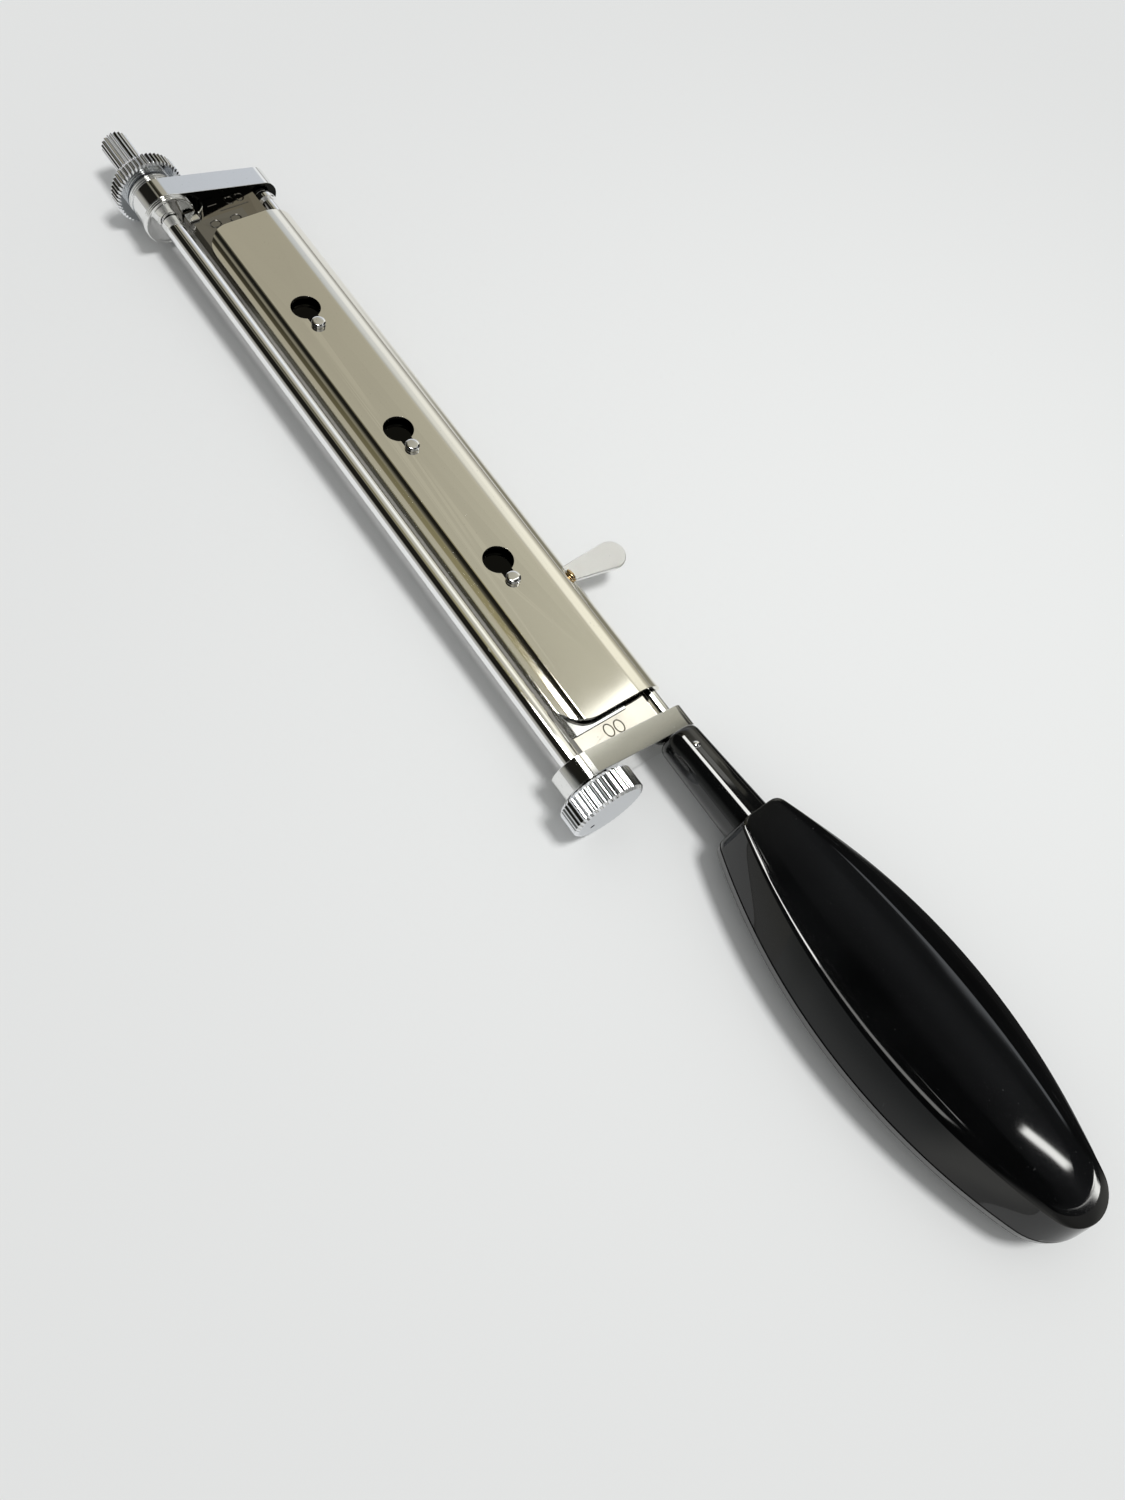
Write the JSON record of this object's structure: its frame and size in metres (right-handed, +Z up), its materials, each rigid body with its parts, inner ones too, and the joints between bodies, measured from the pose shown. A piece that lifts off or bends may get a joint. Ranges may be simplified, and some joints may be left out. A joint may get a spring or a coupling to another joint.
{
  "type": "skin grafting knife",
  "caption": "Long skin grafting knife: covered blade with a guard roller on an eccentric setting spindle, fluted knobs and a flat leaf-shaped black handle.",
  "frame": {"origin": "on the table, under the middle of the knife's bounding box as it rests flat", "axes": "+X from the tip to the handle, +Y from the cutting edge to the back, +Z up from the table"},
  "size_m": [0.322, 0.0524, 0.0171],
  "materials": {
    "plate_steel": "satin, lightly worn",
    "blade_steel": "polished",
    "bracket_plating": "worn bright plating",
    "rod_steel": "polished",
    "cover_plating": "worn warm plating",
    "knob_plating": "satin plating",
    "dark_steel": "dull",
    "inner_steel": "machined",
    "black_moulding": "polished black"
  },
  "bodies": {
    "frame": {"base_plate": "plate_steel", "blade": "blade_steel", "studs": "rod_steel", "blade_latch": "plate_steel", "plate_pins": "inner_steel", "near_bracket": "bracket_plating", "far_bracket": "bracket_plating", "hinge_rod": "rod_steel", "rod_collar": "rod_steel", "near_bush": "inner_steel", "far_flange": "bracket_plating", "far_collar": "bracket_plating", "tang": "inner_steel", "neck": "black_moulding", "neck_pin": "rod_steel", "handle": "black_moulding"},
    "cover": {"cover_plate": "cover_plating", "thumb_tab": "knob_plating"},
    "spindle": {"setting_spindle": "inner_steel", "near_knob": "knob_plating", "knob_pin": "dark_steel", "tip_grip": "knob_plating"},
    "guard_roller": {"roller": "rod_steel"},
    "nut": {"lock_nut": "knob_plating"}
  },
  "joints": [
    {"name": "cover_slide", "type": "slide", "parent": "frame", "child": "cover", "axis": [1, 0, 0], "range_m": [0, 0.0057]},
    {"name": "gap_setting", "type": "hinge", "parent": "frame", "child": "spindle", "pos_m": [0, -0.0177, 0.00855], "axis": [1, 0, 0], "range_deg": [-100, 100]},
    {"name": "roller_spin", "type": "hinge", "parent": "spindle", "child": "guard_roller", "pos_m": [0, -0.01811, 0.00844], "axis": [1, 0, 0], "continuous": true},
    {"name": "lock_nut_turn", "type": "hinge", "parent": "frame", "child": "nut", "pos_m": [0, -0.0177, 0.00855], "axis": [1, 0, 0], "range_deg": [0, 60]}
  ]
}
